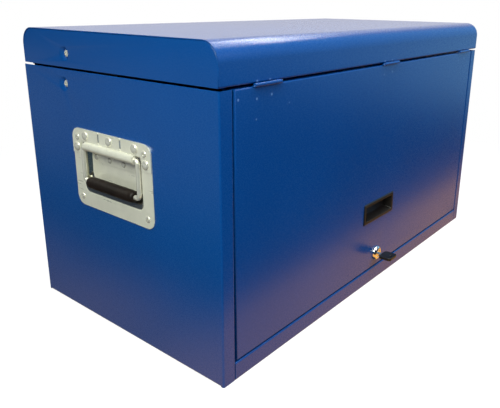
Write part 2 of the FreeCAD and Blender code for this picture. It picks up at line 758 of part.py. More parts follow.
def pull_cup():
    half_w, half_h = pull_width / 2, pull_tall / 2
    rim_back = front_y
    rim_front = front_y - pull_rim_rise
    rim = flat_walls([pull_ring(rim_back, half_w, half_h, pull_corner),
                      pull_ring(rim_front, half_w - pull_rim_rise, half_h - pull_rim_rise, pull_corner)])
    body_w, body_h = half_w - pull_rim, half_h - pull_rim
    back = front_y + pull_depth
    body = flat_walls([pull_ring(rim_back, body_w, body_h, pull_corner),
                       pull_ring(back, body_w - pull_draft, body_h - pull_draft, pull_corner)])
    hollow = flat_walls([pull_ring(rim_front, body_w - pull_wall, body_h - pull_wall, pull_corner),
                         pull_ring(back - pull_wall, body_w - pull_wall - pull_draft,
                                   body_h - pull_wall - pull_draft, pull_corner)])
    return rim.fuse(body).cut(hollow).removeSplitter()


parts["pull_cup"] = pull_cup()


# ---------------------------------------------------------------- cam lock
def lock_housing():
    head_front = front_y - lock_head_rise
    rings = [(lock_head_radius - lock_head_bevel, 0), (lock_head_radius, lock_head_bevel),
             (lock_head_radius, lock_head_rise)]
    head = turned(rings, lock_sides, Vector(0, head_front, lock_height), Y_AXIS)
    body = lock_barrel(front_y, lock_rear - running_gap)
    bore = along_lock(lock_plug_radius + running_fit, head_front - 1, lock_rear)
    return joined(head, body).cut(bore)


parts["lock_housing"] = lock_housing()
nut_y = front_y + sheet + lock_plate_sheet
nut = hexagon(lock_nut_across, lock_nut_height, Vector(0, nut_y, lock_height), Y_AXIS)
parts["lock_nut"] = nut.cut(lock_barrel(nut_y - 1, nut_y + lock_nut_height + 1))


def lock_plug():
    plug_front = front_y - lock_head_rise + 0.6
    barrel = along_lock(lock_plug_radius, plug_front, lock_rear)
    half = cam_square / 2
    square = box(-half, half, lock_rear, lock_rear + cam_sheet, lock_height - half, lock_height + half)
    square = square.common(along_lock(half + 0.8, lock_rear, lock_rear + cam_sheet))
    blade_half = key_blade_width / 2 + keyway_gap
    slot_half = key_blade_sheet / 2 + keyway_gap
    keyway = box(-blade_half, blade_half, plug_front - 1, plug_front + key_blade_depth + 1,
                 lock_height - slot_half, lock_height + slot_half)
    thread = peg(cam_screw_radius, Vector(0, lock_rear - cam_screw_length, lock_height),
                 Vector(0, lock_rear + cam_sheet + 1, lock_height))
    return joined(barrel, square).cut(keyway).cut(thread)


parts["lock_plug"] = lock_plug()


def lock_cam():
    half = cam_width / 2
    ring = [Vector(a, lock_rear, b) for a, b in bar_outline((0, lock_height), (cam_reach - half, lock_height), half)]
    bar = flat_face(ring).extrude(Vector(0, cam_sheet, 0))
    half_square = cam_square / 2
    seat = box(-half_square, half_square, lock_rear - 1, lock_rear + cam_sheet + 1,
               lock_height - half_square, lock_height + half_square)
    seat = seat.common(along_lock(half_square + 0.8, lock_rear - 1, lock_rear + cam_sheet + 1))
    return bar.cut(seat)


parts["lock_cam"] = lock_cam()
cam_back = lock_rear + cam_sheet
screw_head = dome(cam_screw_head, cam_screw_head_height, Vector(0, cam_back, lock_height), Y_AXIS)
screw_shank = peg(cam_screw_radius, Vector(0, lock_rear - cam_screw_length, lock_height),
                  Vector(0, cam_back, lock_height))
parts["lock_cam_screw"] = joined(screw_head, screw_shank)


def key():
    plug_front = front_y - lock_head_rise + 0.6
    neck_front = plug_front - key_neck
    bow_front = neck_front - key_bow_length
    half_blade = key_blade_width / 2
    half_sheet = key_blade_sheet / 2
    blade = box(-half_blade, half_blade, neck_front, plug_front + key_blade_depth,
                lock_height - half_sheet, lock_height + half_sheet)
    for i in range(4):
        y = plug_front + 4 + 3.6 * i
        blade = blade.cut(box(half_blade - 1.3, half_blade + 1, y, y + 1.8, lock_height - 2, lock_height + 2))
    half_bow = key_bow_width / 2
    bow = box(-half_bow, half_bow, bow_front, neck_front, lock_height - key_bow_sheet / 2,
              lock_height + key_bow_sheet / 2)
    corners = [e for e in edges_at(bow, lambda p: abs(abs(p.x) - half_bow) < 1e-6)
               if abs(e.Vertexes[0].Y - e.Vertexes[1].Y) < 1e-6]
    bow = bow.makeChamfer(key_bow_corner, corners)
    ring = Vector(0, bow_front + key_ring_hole + key_ring_margin, lock_height - key_bow_sheet)
    hole = turned([(key_ring_hole, 0), (key_ring_hole, 2 * key_bow_sheet)], head_sides, ring, Z_AXIS)
    return blade, bow.cut(hole)


key_blade, key_bow = key()
parts["key_blade"] = key_blade
parts["key_bow"] = key_bow


# ---------------------------------------------------------------- recessed bail handles
def handle_u(distance):
    """The x of a plane that stands this far in front of the left side panel's outer face."""
    return left_face - distance


def handle_plate():
    half_w = handle_plate_width / 2
    half_h = handle_plate_height / 2
    flange = slab(handle_u(handle_sheet), handle_u(0), -half_w, half_w, handle_height - half_h,
                  handle_height + half_h, handle_corner)
    mouth = (-dish_width / 2, dish_width / 2, handle_height - dish_bottom, handle_height + dish_top)
    back = (mouth[0] + dish_draft_side, mouth[1] - dish_draft_side, mouth[2] + dish_draft_bottom,
            mouth[3] - dish_draft_top)
    grown_mouth = (mouth[0] - dish_sheet, mouth[1] + dish_sheet, mouth[2] - dish_sheet, mouth[3] + dish_sheet)
    grown_back = (back[0] - dish_sheet, back[1] + dish_sheet, back[2] - dish_sheet, back[3] + dish_sheet)
    outer = flat_walls([ring_points(handle_u(0), *grown_mouth, dish_corner + dish_sheet),
                        ring_points(handle_u(-dish_depth - dish_sheet), *grown_back, dish_corner + dish_sheet)])
    hollow = flat_walls([ring_points(handle_u(handle_sheet), *mouth, dish_corner),
                         ring_points(handle_u(-dish_depth), *back, dish_corner)])
    plate = flange.fuse(outer).cut(hollow)
    plate = plate.cut(through_holes(dome_points + blind_points, rivet_shank, 2 * handle_sheet, 1))
    plate = plate.cut(through_holes(strap_rivet_points, strap_rivet_shank, 0, dish_depth + 2 * dish_sheet))
    return plate.cut(spring_slots()).removeSplitter()


def spring_slots():
    z = handle_height + slot_middle
    slots = [box(handle_u(2 * handle_sheet + cover_sheet), handle_u(-0.1), y - slot_width / 2, y + slot_width / 2,
                 z - slot_height / 2, z + slot_height / 2) for y in (-slot_offset, slot_offset)]
    return slots[0].fuse(slots[1])


strap_rivet_points = [Vector(left_face, (i - 1.5) * strap_rivet_spacing, handle_height + strap_rivet_height)
                      for i in range(4)]


def rod_cylinder(radius, y0, y1):
    return cylinder(radius, Vector(rod_x, y0, rod_z), Vector(rod_x, y1, rod_z))


def handle_cover():
    half_w = handle_plate_width / 2
    half_h = handle_plate_height / 2
    back_x = handle_u(handle_sheet)
    front_x = handle_u(handle_sheet + cover_sheet)
    flat = slab(front_x, back_x, -half_w, half_w, handle_height - half_h, handle_height + half_h, handle_corner)
    half_housing = rod_housing_length / 2
    notch_top = rod_z + bail_wire_radius + 2.0
    ear_inner = half_housing + cover_notch
    reach = rod_housing_radius * 2
    flat = flat.cut(box(front_x - 1, back_x + 1, -half_w - 1, half_w + 1, 0, handle_height + ear_drop))
    flat = flat.cut(box(front_x - 1, back_x + 1, -ear_inner, ear_inner, 0, notch_top))
    housing_inner = rod_housing_radius - cover_sheet
    flat = flat.fuse(box(front_x, back_x, -half_housing, half_housing, rod_z, notch_top + 1))
    shell = rod_cylinder(rod_housing_radius, -half_housing, half_housing)
    shell = shell.cut(box(back_x, back_x + reach, -half_housing - 1, half_housing + 1, rod_z - reach, rod_z + reach))
    cover = joined(flat, shell)
    cover = cover.cut(rod_cylinder(housing_inner, -half_housing + rod_land, half_housing - rod_land))
    cover = cover.cut(rod_cylinder(bail_wire_radius + running_fit, -half_housing - 1, half_housing + 1))
    cover = cover.cut(through_holes(dome_points + [p for p in blind_points if p.z > handle_height],
                                    rivet_shank, 4 * handle_sheet, 1))
    return cover.cut(spring_slots())


def handle_strap():
    """Strap riveted to the dish's back; its raised lip backs the rod, with room for the springs."""
    foot = left_face + dish_depth - strap_sheet
    lip = rod_x + bail_wire_radius + running_fit
    foot_top = handle_height + strap_rivet_height + strap_foot / 2 - 1
    foot_bottom = foot_top - strap_foot
    lip_low = rod_z - bail_wire_radius
    outline = [(lip, rod_z + bail_wire_radius), (lip, lip_low), (foot, foot_top), (foot, foot_bottom)]
    outline.reverse()
    half = rod_housing_length / 2
    strap = bent(outline, strap_sheet, front_view, -half, half)
    gap = 1.5
    for side in (-1, 1):
        ends = sorted((side * (spring_inner - gap), side * (spring_inner + spring_length + gap)))
        strap = strap.cut(box(foot - 20, foot + strap_sheet + 0.1, *ends, foot_top + 2, rod_z + 20))
    return strap.cut(through_holes(strap_rivet_points, strap_rivet_shank, 0, dish_depth + dish_sheet))


def beyond(point, direction):
    """A block that fills the far side of a plane through the point."""
    block = Part.makeBox(mitre_block, mitre_block, mitre_block, Vector(-mitre_block / 2, -mitre_block / 2, 0))
    block.Placement = FreeCAD.Placement(point, FreeCAD.Rotation(Z_AXIS, direction))
    return block


def bent_wire(points, radius):
    """Round wire along a path, mitred where the path turns."""
    pieces = []
    last = len(points) - 2
    for i in range(last + 1):
        run = points[i + 1].sub(points[i]).normalize()
        start = points[i] - run * (radius if i > 0 else 0)
        end = points[i + 1] + run * (radius if i < last else 0)
        length = cylinder(radius, start, end)
        if i > 0:
            length = length.cut(beyond(points[i], -(run + points[i].sub(points[i - 1]).normalize())))
        if i < last:
            length = length.cut(beyond(points[i + 1], run + points[i + 2].sub(points[i + 1]).normalize()))
        pieces.append(length)
    return joined(*pieces)


def bail():
    """One bent wire that starts and ends inside the cover's housing."""
    arm_y = bail_arm_spacing / 2
    low = rod_z - bail_drop
    corner = bail_bend * (1 - math.tan(math.radians(22.5)))
    half = [(bail_wire_ends / 2, rod_z), (arm_y - corner, rod_z), (arm_y, rod_z - corner),
            (arm_y, low + corner), (arm_y - corner, low)]
    path = half + [(-y, z) for y, z in reversed(half)]
    return bent_wire([Vector(rod_x, y, z) for y, z in path], bail_wire_radius)


def bail_grip(wire):
    start = Vector(rod_x, -grip_length / 2, rod_z - bail_drop)
    end_radius = grip_radius - grip_end_bevel
    rings = [(end_radius, 0), (grip_radius, grip_end_bevel), (grip_radius, grip_length - grip_end_bevel),
             (end_radius, grip_length)]
    return turned(rings, grip_sides, start, Y_AXIS).cut(wire)


def spring_coils():
    """Two torsion springs on the rod, each a close-wound sleeve with a leg on the strap."""
    springs = []
    inner = bail_wire_radius + spring_gap
    outer = inner + spring_wire
    for side in (-1, 1):
        start = Vector(rod_x, side * (spring_inner + spring_length / 2) - spring_length / 2, rod_z)
        sleeve = turned([(outer, 0), (outer, spring_length)], head_sides, start, Y_AXIS)
        bore = turned([(inner, -1), (inner, spring_length + 1)], head_sides, start, Y_AXIS)
        leg_y = side * (spring_inner + spring_wire)
        leg_x = rod_x + inner + spring_wire / 2
        leg = peg(spring_wire / 2, Vector(leg_x, leg_y, rod_z),
                  Vector(leg_x + spring_leg_reach, leg_y, rod_z - spring_leg_drop))
        springs.append(joined(sleeve, leg).cut(bore))
    return Part.makeCompound(springs)


def dome_rivets():
    face = handle_sheet + cover_sheet
    rivets = []
    for p in dome_points:
        head = dome(dome_radius, dome_rise, p - X_AXIS * face, -X_AXIS)
        shank = peg(rivet_shank, p - X_AXIS * face, p + X_AXIS * sheet)
        tail = peg(rivet_tail, p + X_AXIS * sheet, p + X_AXIS * (sheet + rivet_tail_height))
        rivets.append(joined(head, shank, tail))
    for p in strap_rivet_points:
        seat = p + X_AXIS * (dish_depth - strap_sheet)
        end = p + X_AXIS * (dish_depth + dish_sheet)
        head = dome(strap_rivet_radius, strap_rivet_rise, seat, -X_AXIS)
        tail = peg(strap_rivet_radius, end, end + X_AXIS * rivet_tail_height)
        rivets.append(joined(head, peg(strap_rivet_shank, seat, end), tail))
    return Part.makeCompound(rivets)


def blind_rivets():
    rivets = []
    for p in blind_points:
        face = handle_sheet + (cover_sheet if p.z > handle_height else 0)
        outer = p - X_AXIS * face
        end = p + X_AXIS * (sheet + blind_tail_height)
        head = turned([(blind_radius, 0), (dome_shoulder * blind_radius, blind_rise)], head_sides, outer, -X_AXIS)
        body = peg(rivet_shank, outer, end)
        bulb = peg(rivet_tail, p + X_AXIS * sheet, end)
        hole = peg(blind_hole, outer - X_AXIS * (blind_rise + 1), p)
        rivets.append(joined(head, body, bulb).cut(hole))
    return Part.makeCompound(rivets)


handle_parts = {}
handle_parts["handle_plate"] = handle_plate()
handle_parts["handle_cover"] = handle_cover()
handle_parts["handle_strap"] = handle_strap()
handle_parts["bail"] = bail()
handle_parts["grip"] = bail_grip(handle_parts["bail"])
handle_parts["springs"] = spring_coils()
handle_parts["dome_rivets"] = dome_rivets()
handle_parts["blind_rivets"] = blind_rivets()


# ---------------------------------------------------------------- folding lid stays
# The two arms and the two sheets they hang on form a parallelogram, so both arms turn with the lid.
knee_y = stay_lid_y + stay_body_y - hinge_y
knee_z = stay_lid_z + stay_body_z - hinge_z
seat_depth = dimple_depth + sheet
upper_plane = seat_depth + running_gap
lower_plane = upper_plane + stay_arm_sheet + running_gap
stay_face = left_face + lid_end_inset


def stay_arm(depth, start, end):
    """A flat arm with blunt ends and a hole at each end."""
    x0 = stay_face + depth
    x1 = x0 + stay_arm_sheet
    ring = [Vector(x0, *p) for p in bar_outline(start, end, stay_arm_width / 2)]
    arm = flat_face(ring).extrude(Vector(stay_arm_sheet, 0, 0))
    for p in (start, end):
        arm = arm.cut(cylinder(stay_screw_radius + running_fit, Vector(x0 - 1, *p), Vector(x1 + 1, *p)))
    return arm


def stay_screw(face_x, y, z, arm_depth):
    """Button-head screw in the dimple, in one piece with its spacer and nut."""
    seat_x = face_x + dimple_depth
    head = dome(stay_screw_head, stay_screw_head_height, Vector(seat_x, y, z), -X_AXIS)
    arm_x = stay_face + arm_depth
    nut_x = arm_x + stay_arm_sheet + running_gap
    shank = cylinder(stay_screw_radius, Vector(seat_x, y, z), Vector(nut_x + stay_nut_height / 2, y, z))
    pieces = [shank, hexagon(stay_nut_across, stay_nut_height, Vector(nut_x, y, z), X_AXIS)]
    spacer_start = face_x + seat_depth
    spacer_end = arm_x - running_gap
    if spacer_end - spacer_start > running_gap:
        rings = [(stay_spacer_radius, 0), (stay_spacer_radius, spacer_end - spacer_start)]
        pieces.append(turned(rings, head_sides, Vector(spacer_start, y, z), X_AXIS))
    return joined(head, *pieces)


def knee_rivet():
    x0 = stay_face + upper_plane
    x1 = stay_face + lower_plane + stay_arm_sheet + running_gap
    shank = cylinder(stay_screw_radius, Vector(x0, knee_y, knee_z), Vector(x1, knee_y, knee_z))
    heads = [turned([(stay_screw_head, 0), (dome_shoulder * stay_screw_head, knee_head_height)], head_sides,
                    Vector(x, knee_y, knee_z), direction) for x, direction in ((x0, -X_AXIS), (x1, X_AXIS))]
    return joined(shank, *heads)


stay_parts = {}
upper_arm = stay_arm(upper_plane, (stay_lid_y, stay_lid_z), (knee_y, knee_z))
rivet = knee_rivet()
stay_parts["stay_upper_arm"] = upper_arm.cut(rivet)
stay_parts["stay_lower_arm"] = stay_arm(lower_plane, (stay_body_y, stay_body_z), (knee_y, knee_z))
stay_parts["stay_knee_rivet"] = rivet
stay_parts["stay_lid_screw"] = stay_screw(stay_face, stay_lid_y, stay_lid_z, upper_plane)
stay_parts["stay_body_screw"] = stay_screw(left_face, stay_body_y, stay_body_z, lower_plane)

for name, shape in list(handle_parts.items()) + list(stay_parts.items()):
    parts["left_" + name] = shape
    parts["right_" + name] = mirrored(shape)

# ---------------------------------------------------------------- files
os.makedirs("parts", exist_ok=True)
for name, shape in parts.items():
    shape.exportStep("parts/" + name + ".step")
    print(name, "solids", len(shape.Solids), "valid", shape.isValid(), "volume", round(shape.Volume, 1))
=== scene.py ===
"""Blue sheet-steel tool box: finished surfaces, handle and lock details, studio and camera."""

import json
import math

import bpy
from mathutils import Matrix, Vector

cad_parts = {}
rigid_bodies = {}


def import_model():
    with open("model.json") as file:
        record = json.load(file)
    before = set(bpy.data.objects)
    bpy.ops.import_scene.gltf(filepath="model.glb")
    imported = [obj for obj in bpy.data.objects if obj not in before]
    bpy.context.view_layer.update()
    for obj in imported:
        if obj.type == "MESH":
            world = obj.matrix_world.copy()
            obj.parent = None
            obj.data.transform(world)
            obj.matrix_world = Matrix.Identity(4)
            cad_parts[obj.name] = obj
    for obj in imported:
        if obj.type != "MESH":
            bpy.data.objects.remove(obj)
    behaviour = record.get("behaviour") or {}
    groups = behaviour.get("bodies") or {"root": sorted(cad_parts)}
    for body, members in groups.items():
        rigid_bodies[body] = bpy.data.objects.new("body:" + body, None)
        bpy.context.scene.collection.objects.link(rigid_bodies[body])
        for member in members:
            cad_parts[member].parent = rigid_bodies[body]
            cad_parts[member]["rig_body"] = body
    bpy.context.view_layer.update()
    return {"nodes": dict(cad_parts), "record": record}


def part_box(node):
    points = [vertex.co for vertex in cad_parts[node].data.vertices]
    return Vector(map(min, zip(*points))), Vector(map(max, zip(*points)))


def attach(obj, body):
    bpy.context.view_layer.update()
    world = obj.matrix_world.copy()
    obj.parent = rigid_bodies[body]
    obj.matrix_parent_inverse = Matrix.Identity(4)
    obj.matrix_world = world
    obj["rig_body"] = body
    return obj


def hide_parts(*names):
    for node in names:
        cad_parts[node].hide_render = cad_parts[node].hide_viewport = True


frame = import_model()
nodes = frame["nodes"]
slots = {part["node"]: part["material_slot"] for part in frame["record"]["subparts"]}

MM = 0.001
X = Vector((1, 0, 0))
Y = Vector((0, 1, 0))
mirror = Matrix.Scale(-1, 4, X)
box_sides = (("left", 1), ("right", -1))


def box_of(node):
    """The low and the high corner of a node, in millimetres."""
    low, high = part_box(node)
    return low / MM, high / MM


# ---------------------------------------------------------------- sizes, in millimetres
side_face = box_of("left_side_panel")[0].x
front_face = box_of("flap_panel")[0].y

plate_low, plate_high = box_of("left_handle_plate")
handle_middle = (plate_low.z + plate_high.z) / 2
plate_sheet = side_face - plate_low.x
cover_sheet = 1.2
cover_face = plate_sheet + cover_sheet
strap_sheet = 1.0
dish_depth = 9.0

wire_radius = 3.5
bend_radius = 6.0
wire_gap = 0.6
bail_low, bail_high = box_of("left_bail")
rod_x = (bail_low.x + bail_high.x) / 2
rod_z = bail_high.z - wire_radius
arm_y = bail_high.y - wire_radius
grip_low, grip_high = box_of("left_grip")
grip_z = (grip_low.z + grip_high.z) / 2

spring_slot_y = 24.5
spring_slot_z = handle_middle + 49.5
spring_slot_width = 3.49
spring_slot_height = 11.79

dome_points = [(y, handle_middle + z) for y, z in ((-55, 49), (0, 49), (55, 49), (-76.5, 31), (76.5, 31))]
blind_points = [(y, handle_middle + z) for y in (-74.5, 74.5) for z in (-45, 45)]
strap_points = [((i - 1.5) * 31.5, handle_middle + 17.5) for i in range(4)]

housing_low, housing_high = box_of("lock_housing")
lock_z = (housing_low.z + housing_high.z) / 2

# Chips in the coat of the lid's and the flap's front: x, z and radius, those at a hinge from its middle.
hinge_places = (-315.5, 0.0, 315.5)
hinge_chips = ((-12.1, 390.6, 2.2), (11.7, 390.5, 2.0), (-12.6, 369.4, 2.1), (15.4, 371.8, 2.3))
left_chips = ((-361.2, 372.0, 2.0), (-360.0, 388.6, 1.8), (-264.5, 356.9, 1.6), (-329.2, 344.8, 1.6))
front_chips = [(hinge + x, z, radius) for hinge in hinge_places for x, z, radius in hinge_chips]
front_chips += left_chips


# ---------------------------------------------------------------- finishes
class Wire:
    """A node's output; sums on it add Math nodes."""

    def __init__(self, finish, socket):
        self.finish = finish
        self.socket = socket

    def maths(self, operation, first, second):
        return self.finish.add("ShaderNodeMath", {"operation": operation}, {0: first, 1: second})

    def __add__(self, other):
        return self.maths("ADD", self, other)

    __radd__ = __add__

    def __sub__(self, other):
        return self.maths("SUBTRACT", self, other)

    def __rsub__(self, other):
        return self.maths("SUBTRACT", other, self)

    def __mul__(self, other):
        return self.maths("MULTIPLY", self, other)

    __rmul__ = __mul__

    def peak(self, other):
        """The larger of two values."""
        return self.maths("MAXIMUM", self, other)

    def rise(self, low, high, start=0.0, end=1.0):
        """Goes smoothly from start to end as the value goes from low to high."""
        return self.finish.add("ShaderNodeMapRange", {"interpolation_type": "SMOOTHSTEP"},
                               {"Value": self, "From Min": low, "From Max": high,
                                "To Min": start, "To Max": end})


class Finish:
    """A node material, or the world, with one method that adds any node."""

    def __init__(self, name, owner=None):
        self.owner = owner or bpy.data.materials.new(name)
        self.owner.use_nodes = True
        self.tree = self.owner.node_tree
        self.tree.nodes.clear()

    def add(self, kind, settings=None, inputs=None, out=0):
        node = self.tree.nodes.new(kind)
        for key, value in (settings or {}).items():
            setattr(node, key, value)
        for key, value in (inputs or {}).items():
            if isinstance(value, Wire):
                self.tree.links.new(value.socket, node.inputs[key])
            elif hasattr(value, "__len__") and node.inputs[key].type == "RGBA":
                node.inputs[key].default_value = (*value, 1)
            else:
                node.inputs[key].default_value = value
        return Wire(self, node.outputs[out]) if node.outputs else None

    def place(self):
        return self.add("ShaderNodeTexCoord", out="Object")

    def stretched(self, scale):
        return self.add("ShaderNodeMapping", {}, {"Vector": self.place(), "Scale": scale})

    def noise(self, scale, detail=2.0, roughness=0.5, place=None):
        return self.add("ShaderNodeTexNoise", {},
                        {"Vector": place or self.place(), "Scale": scale, "Detail": detail,
                         "Roughness": roughness})

    def along(self, axis):
        """The place along X, Y or Z, in metres."""
        return self.add("ShaderNodeSeparateXYZ", {}, {0: self.place()}, axis)

    def blend(self, factor, first, second):
        """A colour that goes from the first to the second."""
        return self.add("ShaderNodeMix", {"data_type": "RGBA"}, {0: factor, 6: first, 7: second}, 2)

    def spot(self, centre, radius):
        """1 inside a small soft spot round a point in millimetres."""
        distance = self.add("ShaderNodeVectorMath", {"operation": "DISTANCE"},
                            {0: self.place(), 1: Vector(centre) * MM}, 1)
        return distance.rise(0.45 * radius * MM, radius * MM, 1.0, 0.0)

    def bump(self, height, strength, distance):
        return self.add("ShaderNodeBump", {},
                        {"Height": height, "Strength": strength, "Distance": distance})

    def glow(self, colour, strength=1.0):
        return self.add("ShaderNodeEmission", {}, {"Color": colour, "Strength": strength})

    def background(self, colour, strength=1.0):
        return self.add("ShaderNodeBackground", {}, {"Color": colour, "Strength": strength})

    def ray(self, kind):
        """1 for rays of one kind, such as camera or glossy rays."""
        return self.add("ShaderNodeLightPath", out=kind)

    def either(self, factor, first, second):
        """A shader that goes from the first to the second."""
        return self.add("ShaderNodeMixShader", {}, {0: factor, 1: first, 2: second})

    def surface(self, **inputs):
        """The main shader, with sockets named by words joined with underscores."""
        named = {key.replace("_", " ").title().replace("Ior", "IOR"): value for key, value in inputs.items()}
        shader = self.add("ShaderNodeBsdfPrincipled", {}, named)
        self.add("ShaderNodeOutputMaterial", {}, {"Surface": shader})
        return self.owner


def powder_coat(name, chips=()):
    """Semi-gloss blue coat with a fine texture, and light chips at (x, z, radius) on the front."""
    coat = Finish(name)
    cloud = coat.noise(4.0)
    colour = coat.blend(cloud.rise(0.3, 0.7), (0.0, 0.058, 0.262), (0.0, 0.064, 0.284))
    # Pale speckles in the colour: dust, and a painted speckled highlight.
    dust_and_sparkle = coat.noise(420.0, 3.0, 0.7).rise(0.66, 0.78, 0.0, 0.10)
    colour = coat.blend(dust_and_sparkle, colour, (0.25, 0.36, 0.62))
    grain = coat.noise(900.0, 3.0, 0.65)
    ripple = coat.noise(210.0)
    height = grain * 0.7 + ripple * 0.6
    if chips:
        chipped = 0.0
        for x, z, radius in chips:
            chipped = coat.spot((x, front_face, z), radius).peak(chipped)
        colour = coat.blend(chipped * 0.55, colour, (0.22, 0.40, 0.78))
        height = height + chipped * 1.6
    return coat.surface(base_color=colour, roughness=grain.rise(0.2, 0.8, 0.22, 0.32),
                        normal=coat.bump(height, 0.32, 0.35 * MM), coat_weight=0.15,
                        coat_roughness=0.2, specular_ior_level=0.4)


def plated(name, light, dark, rough, streak, bump=0.12, metallic=1.0, walls=None):
    """Plated metal: cloudy colour, drawn streaks and small scratches.

    Walls are the distances from the middle of the box, in millimetres, between which a pressed
    wall is smoother and mirrors its surroundings.
    """
    metal = Finish(name)
    cloud = metal.noise(60.0, 4.0, 0.6)
    streaks = metal.noise(260.0, 3.0, 0.6, metal.stretched(streak))
    crosswise = (streak[1], streak[2] * 1.5, streak[0] * 2.0)
    scratches = metal.noise(240.0, 5.0, 0.75, metal.stretched(crosswise))
    colour = metal.blend(cloud.rise(0.3, 0.75), dark, light)
    colour = metal.blend(scratches.rise(0.66, 0.80, 0.0, 0.14), colour, tuple(0.55 * c for c in dark))
    roughness = (streaks * 0.6 + cloud * 0.4).rise(0.25, 0.75, *rough)
    if walls:
        near, far = (distance * MM for distance in walls)
        before_near, before_far = near - 0.9 * MM, far - 0.6 * MM
        x = metal.along(0)
        squared = x * x
        inside = squared.rise(before_near ** 2, near ** 2) * squared.rise(before_far ** 2, far ** 2, 1.0, 0.0)
        metallic = inside.rise(0.0, 1.0, metallic, 0.97)
        roughness = roughness * inside.rise(0.0, 1.0, 1.0, 0.4)
    normal = metal.bump(streaks * 0.5 + cloud * 0.5, bump, 0.3 * MM)
    return metal.surface(base_color=colour, metallic=metallic, roughness=roughness, normal=normal)


def zinc_sheet(name, walls=None):
    """Pale drawn zinc plate on the handle's sheet parts."""
    return plated(name, (0.84, 0.83, 0.72), (0.77, 0.765, 0.665), (0.26, 0.34), (0.35, 0.06, 1.0),
                  bump=0.03, metallic=0.3, walls=walls)


def moulded(name, colour, rough, grain_scale, bump, gloss):
    """Black plastic or rubber with a fine grain, paler where it is rubbed."""
    plastic = Finish(name)
    cloud = plastic.noise(35.0, 3.0)
    grain = plastic.noise(grain_scale, 2.0, 0.6)
    shade = plastic.blend(cloud.rise(0.35, 0.75), colour, tuple(1.9 * c for c in colour))
    roughness = grain.rise(0.2, 0.8, rough - 0.08, rough + 0.1)
    return plastic.surface(base_color=shade, roughness=roughness,
                           normal=plastic.bump(grain, bump, 0.2 * MM), specular_ior_level=gloss)


even_streaks = (1.0, 1.0, 1.0)
long_streaks = (1.0, 0.1, 1.0)
dish_walls = (-side_face - dish_depth + 1.2, plate_sheet - side_face - 0.35)
slot_walls = (plate_sheet - side_face - 0.6, cover_face - side_face - 0.35)

blue_coat = powder_coat("blue_coat")
chipped_blue_coat = powder_coat("chipped_blue_coat", front_chips)
zinc = zinc_sheet("zinc")
dish_zinc = zinc_sheet("dish_zinc", dish_walls)
cover_zinc = zinc_sheet("cover_zinc", slot_walls)
rivet_zinc = plated("rivet_zinc", (0.92, 0.90, 0.80), (0.80, 0.79, 0.70), (0.12, 0.22), even_streaks,
                    bump=0.05, metallic=0.55)
chrome = plated("chrome", (0.90, 0.87, 0.82), (0.78, 0.76, 0.72), (0.07, 0.14), even_streaks, bump=0.05)
steel = plated("steel", (0.66, 0.66, 0.66), (0.48, 0.48, 0.49), (0.24, 0.40), long_streaks)
dark_steel = plated("dark_steel", (0.13, 0.13, 0.14), (0.08, 0.08, 0.085), (0.28, 0.42), long_streaks)
spring_wire = plated("spring_wire", (0.75, 0.48, 0.22), (0.55, 0.33, 0.14), (0.18, 0.32), even_streaks)
black_plastic = moulded("black_plastic", (0.010, 0.009, 0.008), 0.34, 1500.0, 0.10, 0.36)
black_rubber = moulded("black_rubber", (0.008, 0.005, 0.004), 0.46, 900.0, 0.18, 0.22)
slot_finish = {"blue_powder_coat": blue_coat, "hinge_steel": blue_coat, "zinc_plate": zinc,
               "chrome": chrome, "bright_steel": steel, "black_plastic": black_plastic,
               "black_rubber": black_rubber}


# ---------------------------------------------------------------- workshop helpers
def pick(*pieces):
    """Selects these pieces alone, the first one active, or none."""
    if bpy.context.mode != "OBJECT":
        bpy.ops.object.mode_set(mode="OBJECT")
    bpy.ops.object.select_all(action="DESELECT")
    for piece in pieces:
        piece.select_set(True)
    if pieces:
        bpy.context.view_layer.objects.active = pieces[0]


def newest():
    """The piece that an operator has just made."""
    return bpy.context.view_layer.objects.active


def edit(piece):
    pick(piece)
    bpy.ops.object.mode_set(mode="EDIT")
    bpy.ops.mesh.select_all(action="SELECT")


def leave():
    bpy.ops.object.mode_set(mode="OBJECT")


def apply_modifier(piece, kind, **settings):
    pick(piece)
    modifier = piece.modifiers.new(kind.title(), kind)
    for key, value in settings.items():
        setattr(modifier, key, value)
    bpy.ops.object.modifier_apply(modifier=modifier.name)


def cut_away(piece, cutter):
    apply_modifier(piece, "BOOLEAN", object=cutter, operation="DIFFERENCE", solver="EXACT")


def settle(piece, matrix):
    """Moves a piece in its mesh, so that its object stays at the origin."""
    piece.data.transform(matrix)
    return piece


def outwards(piece):
    edit(piece)
    bpy.ops.mesh.normals_make_consistent(inside=False)
    leave()


def copied(piece, matrix):
    """A copy with its own mesh, moved by a matrix in its mesh."""
    double = piece.copy()
    double.data = piece.data.copy()
    bpy.context.collection.objects.link(double)
    double.data.transform(matrix)
    if matrix.determinant() < 0:
        double.data.flip_normals()
    return double


def joined(pieces):
    pick(*pieces)
    if len(pieces) > 1:
        bpy.ops.object.join()
    return newest()


def discard(piece):
    bpy.data.objects.remove(piece, do_unlink=True)


def painted(piece, name, finish, angle):
    """Names and paints a piece, and smooths its edges below an angle in degrees."""
    piece.name = name
    piece.data.name = name
    piece.data.materials.clear()
    piece.data.materials.append(finish)
    pick(piece)
    bpy.ops.object.shade_smooth_by_angle(angle=math.radians(angle))
    return piece


def dress(piece, node, finish, angle=35):
    """Paints a piece and lets it ride with a node's body, in that node's place."""
    painted(piece, node + "_finished", finish, angle)
    apply_modifier(piece, "WEIGHTED_NORMAL", keep_sharp=True, weight=80)
    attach(piece, nodes[node]["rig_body"])
    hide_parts(node)


def both_sides(piece, part, finish, angle=35):
    """The left piece and its mirror image, each in place of its node."""
    twin = copied(piece, mirror)
    dress(piece, "left_" + part, finish, angle)
    dress(twin, "right_" + part, finish, angle)


def facing(point, direction):
    """A place in millimetres whose Z looks along a direction."""
    return Matrix.Translation(Vector(point) * MM) @ direction.to_track_quat("Z", "Y").to_matrix().to_4x4()


